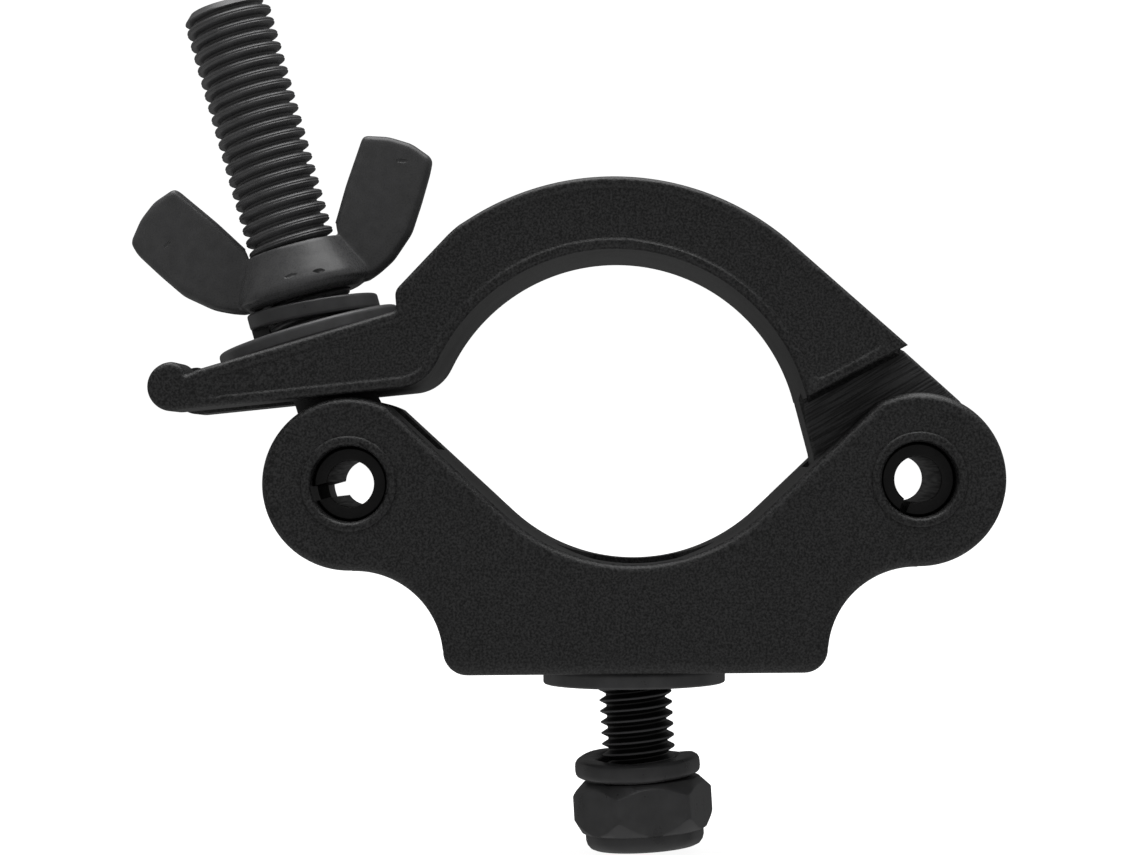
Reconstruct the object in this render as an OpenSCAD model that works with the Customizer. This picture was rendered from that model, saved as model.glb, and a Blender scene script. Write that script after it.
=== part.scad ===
// Slim pipe clamp (half coupler) for stage lighting: a cast saddle, a hinged cast jaw that ends in a
// fork, a swing bolt with a wing nut, and a fixing bolt under the base. Millimetres. +Z is up, +X
// points to the hinge and -Y to the front. The origin is the axis of the clamped tube, halfway across
// the clamp's width.

/* [Castings] */
// Width of the saddle and the jaw
clamp_w = 30; // [26:1:34]
// Radius of the saddle, a little over that of a 50 mm tube
saddle_r = 25.1; // [24.8:0.1:25.4]
// Distance of each clamp pin from the middle
pin_x = 37.75; // [37.5:0.05:38]
// How far the clamp pins lie below the tube's axis
pin_drop = 14.15; // [14:0.05:14.3]
// Radius of the round ears that hold the pins
ear_r = 11.5; // [11.4:0.1:11.6]
// Width of the two slots between the ears
slot_w = 13; // [12.6:0.2:15]
// Reach of the slot for the jaw's tongue, measured from the hinge pin
hinge_slot_r = 14.4; // [14.2:0.1:16]
// Reach of the slot for the swing bolt's eye, measured from its pin
swing_slot_r = 12.2; // [12:0.1:14]
// How far the base's flat underside lies below the clamp pins
base_drop = 25.5; // [25:0.1:26]
// Radius of the hollow flanks between the ears and the base
flank_r = 11.65; // [11.6:0.05:11.7]
// Inner radius of the jaw
jaw_r = 26.05; // [26:0.05:26.1]
// Outer radius of the jaw
jaw_outer_r = 35.7; // [35.5:0.05:35.8]
// Thickness of the jaw's tongue, between the right ears
tongue_w = 12; // [11:0.2:12.4]
// Slope of the fork's top face
face_slope = 16.1; // [16:0.1:16.4]

/* [Clamp pins] */
// Outer diameter of the two hollow pins
pin_d = 10; // [9:0.5:10]
// Bore of the hollow pins
pin_bore = 6.2; // [6:0.1:7.5]
// Length of the hollow pins
pin_len = 24.5; // [22:0.5:26]
// Width of the slit along each pin
slit_w = 2; // [1:0.1:2.5]

/* [Swing bolt and wing nut] */
// Thread diameter of the swing bolt
swing_d = 12; // [12:12]
// Lean of the swing bolt, away from the hinge
swing_lean = 15.2; // [15:0.1:15.4]
// Distance from the clamp pin to the bolt's end
swing_len = 68; // [66:0.5:72]
// Distance from the clamp pin to the wing nut's seat
nut_seat = 26.3; // [26.2:0.1:27]
// Height of the wing nut's boss
boss_h = 7.3; // [6.5:0.1:8]
// Span across both wings
wing_span = 42.6; // [40:0.2:44]
// Thickness of the wings
wing_t = 3.2; // [2.5:0.1:3.6]
// Diameter of the flat washer on the fork
fork_washer_d = 25.4; // [24:0.2:25.4]

/* [Fixing bolt and lock nut] */
// Thread diameter of the fixing bolt
fixing_d = 10; // [10:10]
// Width across flats of the bolt's head and of the lock nut
hex_af = 17; // [16:0.5:17]
// Lean of the fixing bolt in its clearance hole
fixing_lean = 3; // [0:0.5:3]
// Length of the fixing bolt under its head
fixing_len = 30; // [29:0.5:31]
// Diameter of the flat washer under the base
base_washer_d = 25; // [22:0.5:28]
// Gap between the base and the top of the lock nut
nut_gap = 15.4; // [15:0.1:15.6]
// Height of the lock nut
lock_nut_h = 9.3; // [9.1:0.1:9.5]

/* [Hidden] */
$fn = 64;
eps = 0.01;
wall_fit = 0.04;
shaft_fit = 0.05;
pin_z = -pin_drop;
base_z = pin_z - base_drop;
pin_hole_d = pin_d + 2 * 0.02;

// Saddle and base outline
slope_a = 44;
ear_line_a = 117;
flank_x = 37.15;
flank_z = -23.2;
base_half = flank_x - flank_r;
base_corner = 3.2;
mouth_r = 1.2;
pocket_af = hex_af + 2;
pocket_floor = pin_z - 19.4;
fixing_hole_d = fixing_d + 1.5;

// Jaw outline, from the clamp pins' line
jaw_c = [-2.6, 4.7];
jaw_inner_c = [-2.45, 4.7];
heel = [-31.35, 18.6];
heel_r = 6;
under_slope = 5.4;
tip = [-61, 13.05];
tip_r = 3.27;
lip = [-61.15, 14.25];
lip_r = 2.07;
face_foot = [-57.6, 15.3];
shoulder = [-31.45, 25.5];
back_start = [-23.85, 33.4];
step_low = [23, 10.9];
step_high = [36.35, 17.78];
eye_r = 11.2;

// Stack on the swing bolt
washer_t = 2;
face_seat = 20.2;
spring_seat = face_seat + washer_t + 0.35;
spring_d = 18;
spring_bore = 13.2;
fork_washer_bore = 14.4;
fork_washer_shift = 1.1;
boss_low_r = 9.2;
boss_top_r = 6.8;

// Stack on the fixing bolt
base_washer_t = 2.2;
base_washer_x = -0.2;
base_washer_bore = fixing_d + 1;
fixing_x = -0.25;
head_h = 6.4;
head_lift = 0.45;
base_spring_d = 17.2;
base_spring_bore = 10.8;
base_spring_t = 2.2;
spring_gap = nut_gap - base_spring_t - 0.05;
collar_d = 16.3;
collar_h = 2.4;
insert_h = 2;
insert_d = 13.6;
nut_turn = -20.3;

// Points along an arc in a flat outline, from angle a0 to a1
function arc(c, r, a0, a1, n) =
    [for (i = [0 : n]) c + r * [cos(a0 + (a1 - a0) * i / n), sin(a0 + (a1 - a0) * i / n)]];

function mirrored(points) = [for (i = [len(points) - 1 : -1 : 0]) [-points[i][0], points[i][1]]];

// A plate of thickness w, centred on y = 0, from an outline given as [x, height over the pins]
module plate(points, w) {
    translate([0, w / 2, pin_z])
        rotate([90, 0, 0])
            linear_extrude(height = w)
                polygon(points);
}

// A round bar along Y through [x, height over the pins]
module cross_bar(x, z, r, w) {
    translate([x, w / 2, pin_z + z])
        rotate([90, 0, 0])
            cylinder(r = r, h = w);
}

// Places children on the swing bolt: their z = 0 is the clamp pin and +Z runs up the bolt
module on_swing_bolt() {
    translate([-pin_x, 0, pin_z])
        rotate([0, -swing_lean, 0])
            children();
}

// Places children on the fixing bolt: their z = 0 is the base's underside and +Z points up
module on_fixing_bolt() {
    translate([fixing_x, 0, base_z])
        rotate([0, -fixing_lean, 0])
            children();
}

// The rounded mouth of a pin hole, cut into the front or the back face
module hole_mouth(x, side) {
    translate([x, side * clamp_w / 2, pin_z])
        rotate([side * 90, 0, 0])
            rotate_extrude()
                difference() {
                    translate([0, -1])
                        square([pin_hole_d / 2 + mouth_r, 1 + mouth_r]);
                    translate([pin_hole_d / 2 + mouth_r, mouth_r])
                        circle(r = mouth_r);
                }
}

// Half of the saddle's outline, from its lowest point round the ear to the base
function half_saddle() = concat(
    arc([0, pin_drop], saddle_r, -90, slope_a - 90, 24),
    arc([pin_x, 0], ear_r, ear_line_a, -91.4, 48),
    arc([flank_x, flank_z], flank_r, 89, 174, 24),
    arc([base_half - base_corner, base_corner - base_drop], base_corner, 0, -90, 8));

module body() {
    half = half_saddle();
    color([0.09, 0.09, 0.09])
        difference() {
            plate(concat(half, mirrored(half)), clamp_w);
            cross_bar(pin_x, 0, hinge_slot_r, slot_w);
            cross_bar(-pin_x, 0, swing_slot_r, slot_w);
            for (side = [-1, 1]) {
                cross_bar(side * pin_x, 0, pin_hole_d / 2, clamp_w + 2);
                hole_mouth(side * pin_x, 1);
                hole_mouth(side * pin_x, -1);
            }
            translate([0, 0, pocket_floor])
                cylinder(d = pocket_af / cos(30), h = pin_drop, $fn = 6);
            translate([0, 0, base_z - 1])
                cylinder(d = fixing_hole_d, h = base_drop);
        }
}

// The full-width part of the jaw, from the step at the tongue to the fork's tip
function jaw_outline() =
    let (notch_x = shoulder[0] + 0.2,
         notch = [notch_x, face_foot[1] + (notch_x - face_foot[0]) * tan(face_slope)])
    concat(
        arc(jaw_inner_c, jaw_r, 13.7, 154.3, 56),
        arc(heel, heel_r, -25.7, under_slope - 90, 8),
        arc(tip, tip_r, under_slope - 90, 95 - 360, 24),
        arc(lip, lip_r, 90, 10, 8),
        [face_foot, notch, shoulder, back_start],
        arc(jaw_c, jaw_outer_r, 126, 48, 32),
        [step_high]);

// The tongue that turns on the hinge pin, with a short lap inside the full-width part
function tongue_outline() = concat(
    [[24.25, 3.47], [22.35, 10.9], [23, 13.2], [34.6, 18.4], [36.7, 17.35], [44.2, 10.5]],
    arc([pin_x, 0], eye_r, 24, -140, 24),
    [[24.6, 0.4]]);

module arm() {
    color([0.09, 0.09, 0.09])
        difference() {
            union() {
                plate(jaw_outline(), clamp_w);
                plate(tongue_outline(), tongue_w);
            }
            cross_bar(pin_x, 0, pin_d / 2 + shaft_fit, clamp_w);
            on_swing_bolt() {
                translate([0.4, 0, 8])
                    cylinder(d = slot_w, h = 30);
                translate([-40 + 0.4, -slot_w / 2, 0])
                    cube([40, slot_w, 38]);
            }
        }
}

// A hollow spring pin; turn is the side that its slit faces
module spring_pin(x, turn) {
    translate([x, pin_len / 2, pin_z])
        rotate([90, 0, 0])
            difference() {
                cylinder(d = pin_d, h = pin_len);
                translate([0, 0, -1])
                    cylinder(d = pin_bore, h = pin_len + 2);
                rotate([0, 0, turn])
                    translate([0, -slit_w / 2, -1])
                        cube([pin_d, slit_w, pin_len + 2]);
            }
}

module hinge_pin() {
    color([0.13, 0.13, 0.13])
        spring_pin(pin_x, 243);
}

module swing_pin() {
    color([0.13, 0.13, 0.13])
        spring_pin(-pin_x, 195);
}

module swing_bolt() {
    eye_w = slot_w - 0.6;
    eye_d = 20;
    shank_d = 11;
    thread_from = 15;
    chamfer = 1;
    color([0.16, 0.16, 0.16])
        difference() {
            union() {
                cross_bar(-pin_x, 0, eye_d / 2, eye_w);
                on_swing_bolt() {
                    cylinder(d = shank_d, h = thread_from + 1);
                    translate([0, 0, thread_from])
                        rotate_extrude()
                            polygon([[0, 0], [shank_d / 2, 0], [swing_d / 2, chamfer / 2],
                                     [swing_d / 2, swing_len - thread_from - chamfer],
                                     [swing_d / 2 - chamfer, swing_len - thread_from],
                                     [0, swing_len - thread_from]]);
                }
            }
            cross_bar(-pin_x, 0, pin_d / 2 + shaft_fit, clamp_w);
        }
}

// One wing, in the plane of the bolt; side is -1 or 1
module wing(side) {
    reach = wing_span / 2;
    points = [[4, 0.4], [8.7, 0.1], [10.6, 0.8], [12.8, 1.9], [16.2, 4.8], [18.6, 8.4],
              [reach - 0.5, 12], [reach, 13.9], [reach - 2.2, 16.6], [reach - 4.6, 18.4],
              [reach - 7.8, 19.4], [9.7, 13.3], [6.5, 8.3], [6.5, boss_h]];
    translate([0, wing_t / 2, 0])
        rotate([90, 0, 0])
            linear_extrude(height = wing_t)
                polygon([for (p = points) [side * p[0], p[1]]]);
}

module wing_nut() {
    color([0.18, 0.18, 0.18])
        on_swing_bolt()
            translate([0, 0, nut_seat])
                difference() {
                    union() {
                        cylinder(r1 = boss_low_r, r2 = boss_top_r, h = boss_h);
                        wing(-1);
                        wing(1);
                    }
                    translate([0, 0, -1])
                        cylinder(d = swing_d + 2 * shaft_fit, h = boss_h + 4);
                }
}

// A split ring: turn is the side that its cut faces
module split_ring(d, bore, t, turn, cut) {
    difference() {
        cylinder(d = d, h = t);
        translate([0, 0, -1])
            cylinder(d = bore, h = t + 2);
        rotate([0, 0, turn])
            translate([0, -cut / 2, -1])
                cube([d, cut, t + 2]);
    }
}

module fork_spring_washer() {
    color([0.16, 0.16, 0.16])
        on_swing_bolt()
            translate([0.3, 0, spring_seat])
                split_ring(spring_d, spring_bore, nut_seat - spring_seat - eps, 180, 0.8);
}

module fork_flat_washer() {
    color([0.16, 0.16, 0.16])
        on_swing_bolt()
            translate([0, 0, face_seat + wall_fit])
                rotate([0, swing_lean - face_slope, 0])
                    translate([-fork_washer_shift, 0, 0])
                        difference() {
                            cylinder(d = fork_washer_d, h = washer_t);
                            translate([0, 0, -1])
                                cylinder(d = fork_washer_bore, h = washer_t + 2);
                        }
}

module fixing_bolt() {
    seat = pocket_floor - base_z + head_lift;
    color([0.16, 0.16, 0.16])
        on_fixing_bolt() {
            translate([0, 0, seat])
                intersection() {
                    cylinder(d = hex_af / cos(30), h = head_h, $fn = 6);
                    cylinder(r1 = hex_af, r2 = hex_af / 2 - 0.4, h = head_h + 1.2);
                }
            translate([0, 0, seat - fixing_len])
                rotate_extrude()
                    polygon([[0, 0], [fixing_d / 2 - 1, 0], [fixing_d / 2, 1],
                             [fixing_d / 2, fixing_len + 1], [0, fixing_len + 1]]);
        }
}

module base_flat_washer() {
    color([0.16, 0.16, 0.16])
        translate([base_washer_x, 0, base_z - base_washer_t])
            difference() {
                cylinder(d = base_washer_d, h = base_washer_t);
                translate([0, 0, -1])
                    cylinder(d = base_washer_bore, h = base_washer_t + 2);
            }
}

module base_spring_washer() {
    color([0.16, 0.16, 0.16])
        on_fixing_bolt()
            translate([0, 0, -spring_gap - base_spring_t])
                split_ring(base_spring_d, base_spring_bore, base_spring_t, 25, 1);
}

// A hexagonal nut with a chamfered top face, and a round collar below that holds the insert
module lock_nut() {
    hex_h = lock_nut_h - collar_h;
    color([0.16, 0.16, 0.16])
        on_fixing_bolt()
            translate([0, 0, -nut_gap])
                difference() {
                    union() {
                        translate([0, 0, -hex_h])
                            intersection() {
                                rotate([0, 0, nut_turn - 90])
                                    cylinder(d = hex_af / cos(30), h = hex_h, $fn = 6);
                                cylinder(r1 = hex_af / 2 + 5, r2 = hex_af / 2 - 0.3, h = hex_h);
                            }
                        translate([0, 0, -lock_nut_h])
                            cylinder(d1 = collar_d - 1, d2 = collar_d, h = collar_h + eps);
                    }
                    translate([0, 0, -lock_nut_h - 1])
                        cylinder(d = fixing_d + 2 * shaft_fit, h = lock_nut_h + 2);
                    translate([0, 0, -lock_nut_h - 1])
                        cylinder(d = insert_d, h = insert_h + 1);
                }
}

module lock_nut_insert() {
    color([0.12, 0.12, 0.12])
        on_fixing_bolt()
            translate([0, 0, -nut_gap - lock_nut_h + 0.2])
                difference() {
                    cylinder(d = insert_d - wall_fit, h = insert_h - 0.2 - eps);
                    translate([0, 0, -1])
                        cylinder(d = fixing_d + 2 * shaft_fit, h = insert_h + 2);
                }
}

body();
arm();
hinge_pin();
swing_pin();
swing_bolt();
wing_nut();
fork_spring_washer();
fork_flat_washer();
fixing_bolt();
base_flat_washer();
base_spring_washer();
lock_nut();
lock_nut_insert();
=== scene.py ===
"""Looks of the slim pipe clamp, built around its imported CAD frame.

Shapes are made in millimetres in the CAD's frame (tube axis at the origin, +X to the hinge, -Y to the
front, +Z up) and brought to metres when a piece is finished.
"""

import math

import bmesh
import bpy
from mathutils import Euler, Matrix, Vector, noise


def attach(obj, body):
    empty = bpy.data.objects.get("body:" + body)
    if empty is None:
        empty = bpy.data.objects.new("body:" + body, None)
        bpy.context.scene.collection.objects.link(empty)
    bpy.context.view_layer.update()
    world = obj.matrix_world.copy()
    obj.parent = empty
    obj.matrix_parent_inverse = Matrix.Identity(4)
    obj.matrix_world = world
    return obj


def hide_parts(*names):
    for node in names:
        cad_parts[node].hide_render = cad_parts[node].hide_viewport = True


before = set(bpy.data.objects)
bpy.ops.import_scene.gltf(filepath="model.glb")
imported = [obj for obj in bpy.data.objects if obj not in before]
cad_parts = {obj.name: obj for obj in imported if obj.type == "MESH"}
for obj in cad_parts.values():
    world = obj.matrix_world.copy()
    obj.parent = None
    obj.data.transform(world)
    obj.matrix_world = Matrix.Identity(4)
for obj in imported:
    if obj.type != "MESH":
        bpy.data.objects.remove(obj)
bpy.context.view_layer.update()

MM = 0.001
TAU = 2 * math.pi

# The clamp's main sizes, as in the CAD
PIN_X = 37.75
PIN_Z = -14.15
BASE_Z = -39.65
HALF_W = 15.0
EAR_R = 11.5
SADDLE_R = 25.1
SLOT_W = 13.0
HINGE_SLOT_R = 14.4
SWING_SLOT_R = 12.2
SWING_LEAN = math.radians(15.2)
FIXING_LEAN = math.radians(3)
FACE_SLOPE = 16.1
NUT_SEAT = 26.3
FIXING_X = -0.25
NUT_GAP = 15.4
PIN_HOLE_R = 5.02
TURNING_HOLE_R = 5.05
PIN_HALF_LENGTH = 12.25
POCKET_FLOOR = PIN_Z - 19.4
POCKET_AF = 19.0
FIXING_BORE_R = 5.75
TONGUE_HALF_W = 6.0
WING_HALF_T = 1.75
FLOOR_Z = -65.2

# The step from the jaw's full width to its tongue runs between these points, with heights over the pins
STEP_LOW = (23.0, 10.9)
STEP_HIGH = (36.35, 17.78)

SWING_AXIS = Matrix.Translation((-PIN_X, 0, PIN_Z)) @ Matrix.Rotation(-SWING_LEAN, 4, "Y")
FIXING_AXIS = Matrix.Translation((FIXING_X, 0, BASE_Z)) @ Matrix.Rotation(-FIXING_LEAN, 4, "Y")


# ---------------------------------------------------------------- flat outlines


def arc(cx, cz, r, a0, a1, n):
    """Points on an arc, angles in degrees."""
    out = []
    for i in range(n + 1):
        a = math.radians(a0 + (a1 - a0) * i / n)
        out.append((cx + r * math.cos(a), cz + r * math.sin(a)))
    return out


def anticlockwise(points):
    """The outline, reversed if it runs clockwise."""
    area = sum(a[0] * b[1] - b[0] * a[1] for a, b in zip(points, points[1:] + points[:1]))
    return list(points) if area > 0 else list(reversed(points))


def rounded(points, radius, n=4):
    """A polygon with each corner turned into a short arc. radius is one number, or one per corner."""
    count = len(points)
    radii = radius if hasattr(radius, "__len__") else [radius] * count
    out = []
    for i in range(count):
        here = Vector(points[i])
        before = Vector(points[i - 1]) - here
        after = Vector(points[(i + 1) % count]) - here
        reach = min(radii[i], before.length * 0.48, after.length * 0.48)
        if reach < 1e-4:
            out.append(tuple(here))
            continue
        a = here + before.normalized() * reach
        b = here + after.normalized() * reach
        for k in range(n + 1):
            t = k / n
            p = a * (1 - t) ** 2 + here * 2 * t * (1 - t) + b * t * t
            out.append((p.x, p.y))
    return out


def bend(a, b, c, reach, n=5):
    """The corner at b between a and c, turned into a short curve."""
    b = Vector(b)
    p = b + (Vector(a) - b).normalized() * reach
    q = b + (Vector(c) - b).normalized() * reach
    steps = [k / n for k in range(n + 1)]
    out = [p * (1 - t) ** 2 + b * 2 * t * (1 - t) + q * t * t for t in steps]
    return [(v.x, v.y) for v in out]


def spaced(points, longest):
    """A closed outline with points added so that no side is longer than longest."""
    out = []
    for a, b in zip(points, points[1:] + points[:1]):
        a, b = Vector(a), Vector(b)
        parts = max(1, math.ceil((b - a).length / longest))
        for k in range(parts):
            p = a.lerp(b, k / parts)
            if not out or (p - Vector(out[-1])).length > 0.02:
                out.append((p.x, p.y))
    if (Vector(out[0]) - Vector(out[-1])).length < 0.02:
        out.pop()
    return out


def meet(p, d, q, e):
    """Where the line through p along d meets the line through q along e, or None."""
    cross = d.x * e.y - d.y * e.x
    if abs(cross) < 1e-6:
        return None
    t = ((q.x - p.x) * e.y - (q.y - p.y) * e.x) / cross
    return p + d * t


def shrink(ring, where, step):
    """Moves a closed outline inwards by step, and joins neighbours that the move would turn round."""
    n = len(ring)
    along = [(ring[(i + 1) % n] - ring[i]).normalized() for i in range(n)]
    inward = [Vector((-e.y, e.x)) for e in along]
    moved = []
    for i in range(n):
        a, b = inward[i - 1], inward[i]
        moved.append(ring[i] + (a + b) / max(1 + a.dot(b), 0.25) * step)
    alive = [(moved[(i + 1) % n] - moved[i]).dot(along[i]) > 1e-5 for i in range(n)]
    if all(alive):
        return moved, where
    first = next(i for i in range(n) if alive[i - 1])
    groups = []
    for k in range(first, first + n):
        i = k % n
        if alive[i - 1] or not groups:
            groups.append([i])
        else:
            groups[-1].append(i)
    new_ring, place = [], {}
    for group in groups:
        point = moved[group[0]]
        if len(group) > 1:
            head, tail = group[0], group[-1]
            point = sum((moved[i] for i in group), Vector((0, 0))) / len(group)
            cross = meet(
                ring[head] + inward[head - 1] * step,
                along[head - 1],
                ring[tail] + inward[tail] * step,
                along[tail],
            )
            if cross and (cross - point).length < 4 * step + 0.5:
                point = cross
        for i in group:
            place[i] = len(new_ring)
        new_ring.append(point)
    return new_ring, [place[i] for i in where]


def inset_rows(outline, insets):
    """The outline moved inwards by each of the rising insets, with one point per outline point."""
    ring = [Vector(p) for p in outline]
    where = list(range(len(ring)))
    rows, done = [], 0.0
    for inset in insets:
        parts = max(1, math.ceil((inset - done) / 0.1))
        for _ in range(parts):
            if inset > done:
                ring, where = shrink(ring, where, (inset - done) / parts)
        done = inset
        rows.append([ring[k].copy() for k in where])
    return rows


def smooth_ring(ring, passes, from_x=-100):
    """Rounds a closed outline's corners beyond from_x, by moving points to their neighbours' middle."""
    n = len(ring)
    for _ in range(passes):
        middle = [(ring[i - 1] + ring[(i + 1) % n]) / 2 for i in range(n)]
        ring = [p.lerp(m, 0.5) if p.x > from_x else p for p, m in zip(ring, middle)]
    return ring


# ---------------------------------------------------------------- meshes


def skin(rows, wrap_rows=False):
    """A mesh of quads between rows, which are closed loops of as many points. Open ends are capped."""
    bm = bmesh.new()
    grid = [[bm.verts.new(p) for p in row] for row in rows]
    count = len(grid)
    size = len(grid[0])
    for j in range(count if wrap_rows else count - 1):
        a, b = grid[j], grid[(j + 1) % count]
        for i in range(size):
            k = (i + 1) % size
            bm.faces.new((a[i], a[k], b[k], b[i]))
    if not wrap_rows:
        for row in (grid[0], grid[-1]):
            bm.faces.new(row)
    tidy(bm)
    return bm


def tidy(bm, gap=0.0015):
    """Joins coincident points, drops faces without area and turns the faces outwards."""
    bmesh.ops.remove_doubles(bm, verts=bm.verts, dist=gap)
    bmesh.ops.dissolve_degenerate(bm, edges=bm.edges, dist=gap / 3)
    bmesh.ops.recalc_face_normals(bm, faces=bm.faces)


def piece(name, bm, place=None):
    """A new object from a bmesh, in millimetres."""
    if place is not None:
        bmesh.ops.transform(bm, matrix=place, verts=bm.verts)
    mesh = bpy.data.meshes.new(name)
    bm.to_mesh(mesh)
    bm.free()
    ob = bpy.data.objects.new(name, mesh)
    bpy.context.scene.collection.objects.link(ob)
    return ob


def settle(ob):
    """Applies an object's modifiers to its mesh."""
    bpy.context.view_layer.update()
    graph = bpy.context.evaluated_depsgraph_get()
    mesh = bpy.data.meshes.new_from_object(ob.evaluated_get(graph))
    old = ob.data
    ob.modifiers.clear()
    ob.data = mesh
    mesh.name = ob.name
    bpy.data.meshes.remove(old)
    return ob


def combine(base, tools, operation):
    """Adds the tools to base, or takes them away from it, and removes them."""
    for tool in tools:
        m = base.modifiers.new("combine", "BOOLEAN")
        m.operation = operation
        m.object = tool
        m.solver = "MANIFOLD"
    settle(base)
    for tool in tools:
        mesh = tool.data
        bpy.data.objects.remove(tool)
        bpy.data.meshes.remove(mesh)
    return base


def soften(ob, width):
    """Rounds the edges that turn by more than 40 degrees."""
    bm = bmesh.new()
    bm.from_mesh(ob.data)
    bmesh.ops.remove_doubles(bm, verts=bm.verts, dist=0.003)
    flat = math.radians(0.4)
    bmesh.ops.dissolve_limit(bm, angle_limit=flat, verts=bm.verts, edges=bm.edges)
    bm.to_mesh(ob.data)
    bm.free()
    m = ob.modifiers.new("edge", "BEVEL")
    m.limit_method = "ANGLE"
    m.angle_limit = math.radians(40)
    m.width = width
    m.segments = 3
    m.use_clamp_overlap = True
    m.miter_outer = "MITER_ARC"
    return settle(ob)


def finish_piece(ob, body, material, nodes, sharp=38):
    """Brings a piece to metres, shades it and puts it on its body in place of its CAD nodes. Edges that
    turn by more than sharp degrees stay sharp."""
    mesh = ob.data
    mesh.transform(Matrix.Scale(MM, 4))
    bm = bmesh.new()
    bm.from_mesh(mesh)
    for f in bm.faces:
        f.smooth = True
    limit = math.radians(sharp)
    for e in bm.edges:
        e.smooth = len(e.link_faces) == 2 and e.calc_face_angle(0) < limit
    bm.to_mesh(mesh)
    bm.free()
    mesh.materials.clear()
    mesh.materials.append(material)
    m = ob.modifiers.new("normals", "WEIGHTED_NORMAL")
    m.keep_sharp = True
    m.weight = 80
    settle(ob)
    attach(ob, body)
    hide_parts(*nodes)
    return ob


def step_up(value, low, high):
    """A smooth step from 0 below low to 1 above high."""
    t = min(1, max(0, (value - low) / (high - low)))
    return t * t * (3 - 2 * t)


def prism(name, outline, half, rim, depths=None, passes=8, from_x=-100):
    """A plate across the clamp's width. rim lists how the edge runs, as (inset from the outline, depth
    below the face). depths, if given, turns a point and its place in rim into the depth there. passes
    and from_x go to smooth_ring for the rows on the face."""
    outline = anticlockwise(outline)
    rows = inset_rows(outline, [r[0] for r in rim])
    on_face = 1.1
    for k, (inset, _) in enumerate(rim):
        if inset > on_face:
            rows[k] = smooth_ring(rows[k], passes, from_x)
    front, back = [], []
    for k, row in enumerate(rows):
        drops = [depths(p, k) if depths else rim[k][1] for p in row]
        front.append([(p.x, d - half, p.y) for p, d in zip(row, drops)])
        back.append([(p.x, half - d, p.y) for p, d in zip(row, drops)])
    return piece(name, skin(back[::-1] + front))


def lathe(profile, n, closed=True):
    """A turned shape from a list of (radius, height). closed joins its last point to its first."""
    return skin([circle_row(r, h, n) for r, h in profile], wrap_rows=closed)


def circle_row(r, h, n):
    """n points on a circle of radius r about the Z axis, at height h."""
    return [(r * math.cos(TAU * i / n), r * math.sin(TAU * i / n), h) for i in range(n)]


def along_y(x):
    """Turns a shape's Z axis to -Y and puts it on a pin's axis."""
    return Matrix.Translation((x, 0, PIN_Z)) @ Matrix.Rotation(math.pi / 2, 4, "X")


def bar(name, x, r, half, n=96):
    """A plain round tool on a pin's axis, for cutting."""
    return piece(name, lathe([(r, -half), (r, half)], n, closed=False), along_y(x))


def fillet(r, n):
    """The rounding of a plate's edge as (inset, depth) pairs, from its wall to its face."""
    turns = [math.pi / 2 * k / n for k in range(n + 1)]
    return [(r * (1 - math.cos(a)), r * (1 - math.sin(a))) for a in turns]


# ---------------------------------------------------------------- materials


def node(tree, kind, **values):
    """A new node; values set its sockets or its own properties."""
    n = tree.nodes.new(kind)
    for key, value in values.items():
        if key in n.inputs:
            n.inputs[key].default_value = value
        else:
            setattr(n, key, value)
    return n


def new_material(name):
    """A material, its tree and shader, and the coordinates that its patterns run on."""
    mat = bpy.data.materials.new(name)
    mat.use_nodes = True
    tree = mat.node_tree
    shader = tree.nodes["Principled BSDF"]
    coords = node(tree, "ShaderNodeTexCoord")
    return mat, tree, shader, coords.outputs["Object"]


def grain(tree, where, size_mm, detail=2.0, rough=0.5, stretch=None):
    """Noise whose grains are about size_mm across."""
    source = where
    if stretch:
        m = node(tree, "ShaderNodeMapping", vector_type="TEXTURE")
        m.inputs["Scale"].default_value = stretch
        tree.links.new(where, m.inputs["Vector"])
        source = m.outputs["Vector"]
    n = node(tree, "ShaderNodeTexNoise")
    n.inputs["Scale"].default_value = 1 / (size_mm * MM)
    n.inputs["Detail"].default_value = detail
    n.inputs["Roughness"].default_value = rough
    tree.links.new(source, n.inputs["Vector"])
    return n.outputs["Fac"]


def maths(tree, operation, *values):
    """One Math node. Numbers are set on its sockets and outputs are linked to them."""
    n = node(tree, "ShaderNodeMath", operation=operation)
    for socket, value in zip(n.inputs, values):
        if isinstance(value, (int, float)):
            socket.default_value = value
        else:
            tree.links.new(value, socket)
    return n.outputs["Value"]


def spread(tree, value, low, high, out_low, out_high):
    """Maps value from the range low to high on to out_low to out_high, and holds it there."""
    n = node(tree, "ShaderNodeMapRange")
    n.inputs["From Min"].default_value = low
    n.inputs["From Max"].default_value = high
    n.inputs["To Min"].default_value = out_low
    n.inputs["To Max"].default_value = out_high
    tree.links.new(value, n.inputs["Value"])
    return n.outputs["Result"]


def cold_grey(level):
    """A grey with a touch more blue."""
    return (level, level, level * 1.02)


def blend_colour(tree, factor, low, high):
    """Runs from low to high with factor. Each of them is a colour or another node's output."""
    n = node(tree, "ShaderNodeMix", data_type="RGBA")
    for key, colour in (("A", low), ("B", high)):
        if isinstance(colour, tuple):
            n.inputs[key].default_value = (*colour, 1)
        else:
            tree.links.new(colour, n.inputs[key])
    tree.links.new(factor, n.inputs["Factor"])
    return n.outputs["Result"]


def bump(tree, height, strength, depth_mm, normal=None):
    """Relief of depth_mm from height, on top of another bump's normal if one is given."""
    n = node(tree, "ShaderNodeBump")
    n.inputs["Strength"].default_value = strength
    n.inputs["Distance"].default_value = depth_mm * MM
    tree.links.new(height, n.inputs["Height"])
    if normal is not None:
        tree.links.new(normal, n.inputs["Normal"])
    return n.outputs["Normal"]


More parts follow.
